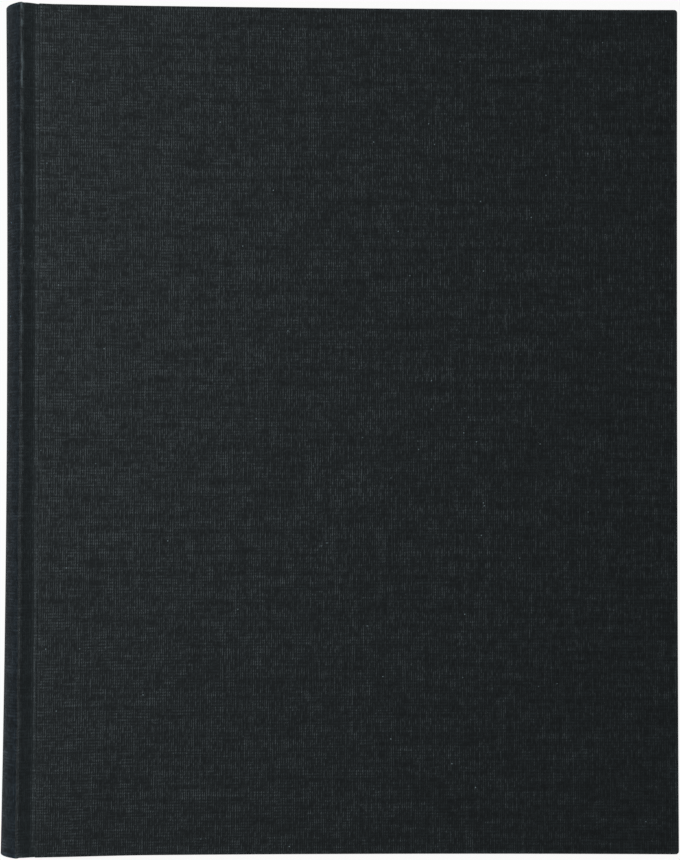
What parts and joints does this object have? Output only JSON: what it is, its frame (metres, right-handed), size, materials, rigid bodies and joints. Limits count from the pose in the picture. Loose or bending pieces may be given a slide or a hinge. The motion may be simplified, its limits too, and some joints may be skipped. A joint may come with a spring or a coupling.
{
  "type": "ledger book",
  "caption": "Cloth-bound ledger with a rounded hollow spine, French joints and sewn leaves that open from either cover.",
  "frame": {"origin": "middle of the book's box, at the level of the back cover's outer face", "axes": "+X from the spine to the fore-edge, +Y from the tail to the head, +Z from the back cover to the front cover; the book is closed and lies on its back cover"},
  "size_m": [0.2282, 0.2864, 0.0275],
  "materials": {
    "cover_cloth": "black plain-weave book cloth, matt with a faint sheen",
    "board": "grey bookbinder's board",
    "endpaper": "heavy off-white endpaper",
    "ledger_paper": "smooth ruled ledger paper",
    "muslin": "open-weave starched muslin",
    "kraft": "brown kraft paper",
    "linen": "unbleached linen tape and waxed thread",
    "band": "woven headband with light and dark stripes"
  },
  "bodies": {
    "book_block": {"gathering_01": "ledger_paper", "gathering_02": "ledger_paper", "gathering_03": "ledger_paper", "gathering_04": "ledger_paper", "gathering_05": "ledger_paper", "gathering_06": "ledger_paper", "gathering_07": "ledger_paper", "gathering_08": "ledger_paper", "gathering_09": "ledger_paper", "gathering_10": "ledger_paper", "sewing_tape_1": "linen", "sewing_tape_2": "linen", "sewing_tape_3": "linen", "tape_stitches_1": "linen", "tape_stitches_2": "linen", "tape_stitches_3": "linen", "kettle_stitches_head": "linen", "kettle_stitches_tail": "linen", "headband": "band", "tailband": "band", "spine_mull": "muslin", "spine_lining": "kraft", "spine_inlay": "board", "spine_cloth": "cover_cloth"},
    "front_cover": {"front_cover_cloth": "cover_cloth", "front_board": "board", "front_board_infill": "board", "front_mull_flap": "muslin", "front_tape_end_1": "linen", "front_tape_end_2": "linen", "front_tape_end_3": "linen", "front_pastedown": "endpaper"},
    "front_flyleaf": {"front_flyleaf": "endpaper"},
    "front_leaf_1": {"front_leaf_1": "ledger_paper"},
    "front_leaf_2": {"front_leaf_2": "ledger_paper"},
    "front_leaf_3": {"front_leaf_3": "ledger_paper"},
    "front_leaf_4": {"front_leaf_4": "ledger_paper"},
    "front_leaf_5": {"front_leaf_5": "ledger_paper"},
    "back_cover": {"back_cover_cloth": "cover_cloth", "back_board": "board", "back_board_infill": "board", "back_mull_flap": "muslin", "back_tape_end_1": "linen", "back_tape_end_2": "linen", "back_tape_end_3": "linen", "back_pastedown": "endpaper"},
    "back_flyleaf": {"back_flyleaf": "endpaper"},
    "back_leaf_1": {"back_leaf_1": "ledger_paper"},
    "back_leaf_2": {"back_leaf_2": "ledger_paper"}
  },
  "joints": [
    {"name": "front_cover_hinge", "type": "hinge", "parent": "book_block", "child": "front_cover", "pos_m": [-0.10836, 0, 0.02748], "axis": [0, -1, 0], "range_deg": [0, 179]},
    {"name": "front_flyleaf_turn", "type": "hinge", "parent": "book_block", "child": "front_flyleaf", "pos_m": [-0.10836, 0, 0.02748], "axis": [0, -1, 0], "range_deg": [0, 176.4]},
    {"name": "front_leaf_1_turn", "type": "hinge", "parent": "book_block", "child": "front_leaf_1", "pos_m": [-0.10836, 0, 0.02748], "axis": [0, -1, 0], "range_deg": [0, 172.8]},
    {"name": "front_leaf_2_turn", "type": "hinge", "parent": "book_block", "child": "front_leaf_2", "pos_m": [-0.10836, 0, 0.02748], "axis": [0, -1, 0], "range_deg": [0, 169.2]},
    {"name": "front_leaf_3_turn", "type": "hinge", "parent": "book_block", "child": "front_leaf_3", "pos_m": [-0.10836, 0, 0.02748], "axis": [0, -1, 0], "range_deg": [0, 164.7]},
    {"name": "front_leaf_4_turn", "type": "hinge", "parent": "book_block", "child": "front_leaf_4", "pos_m": [-0.10836, 0, 0.02748], "axis": [0, -1, 0], "range_deg": [0, 159.4]},
    {"name": "front_leaf_5_turn", "type": "hinge", "parent": "book_block", "child": "front_leaf_5", "pos_m": [-0.10836, 0, 0.02748], "axis": [0, -1, 0], "range_deg": [0, 153.1]},
    {"name": "back_cover_hinge", "type": "hinge", "parent": "book_block", "child": "back_cover", "pos_m": [-0.10836, 0, 0], "axis": [0, 1, 0], "range_deg": [0, 179]},
    {"name": "back_flyleaf_turn", "type": "hinge", "parent": "book_block", "child": "back_flyleaf", "pos_m": [-0.10836, 0, 0], "axis": [0, 1, 0], "range_deg": [0, 176.4]},
    {"name": "back_leaf_1_turn", "type": "hinge", "parent": "book_block", "child": "back_leaf_1", "pos_m": [-0.10836, 0, 0], "axis": [0, 1, 0], "range_deg": [0, 171.9]},
    {"name": "back_leaf_2_turn", "type": "hinge", "parent": "book_block", "child": "back_leaf_2", "pos_m": [-0.10836, 0, 0], "axis": [0, 1, 0], "range_deg": [0, 166.5]}
  ],
  "couplings": [
    {"joint": "front_flyleaf_turn", "follows": "front_cover_hinge", "ratio": 0.985},
    {"joint": "front_leaf_1_turn", "follows": "front_cover_hinge", "ratio": 0.965},
    {"joint": "front_leaf_2_turn", "follows": "front_cover_hinge", "ratio": 0.945},
    {"joint": "front_leaf_3_turn", "follows": "front_cover_hinge", "ratio": 0.92},
    {"joint": "front_leaf_4_turn", "follows": "front_cover_hinge", "ratio": 0.89},
    {"joint": "front_leaf_5_turn", "follows": "front_cover_hinge", "ratio": 0.855},
    {"joint": "back_flyleaf_turn", "follows": "back_cover_hinge", "ratio": 0.985},
    {"joint": "back_leaf_1_turn", "follows": "back_cover_hinge", "ratio": 0.96},
    {"joint": "back_leaf_2_turn", "follows": "back_cover_hinge", "ratio": 0.93}
  ]
}
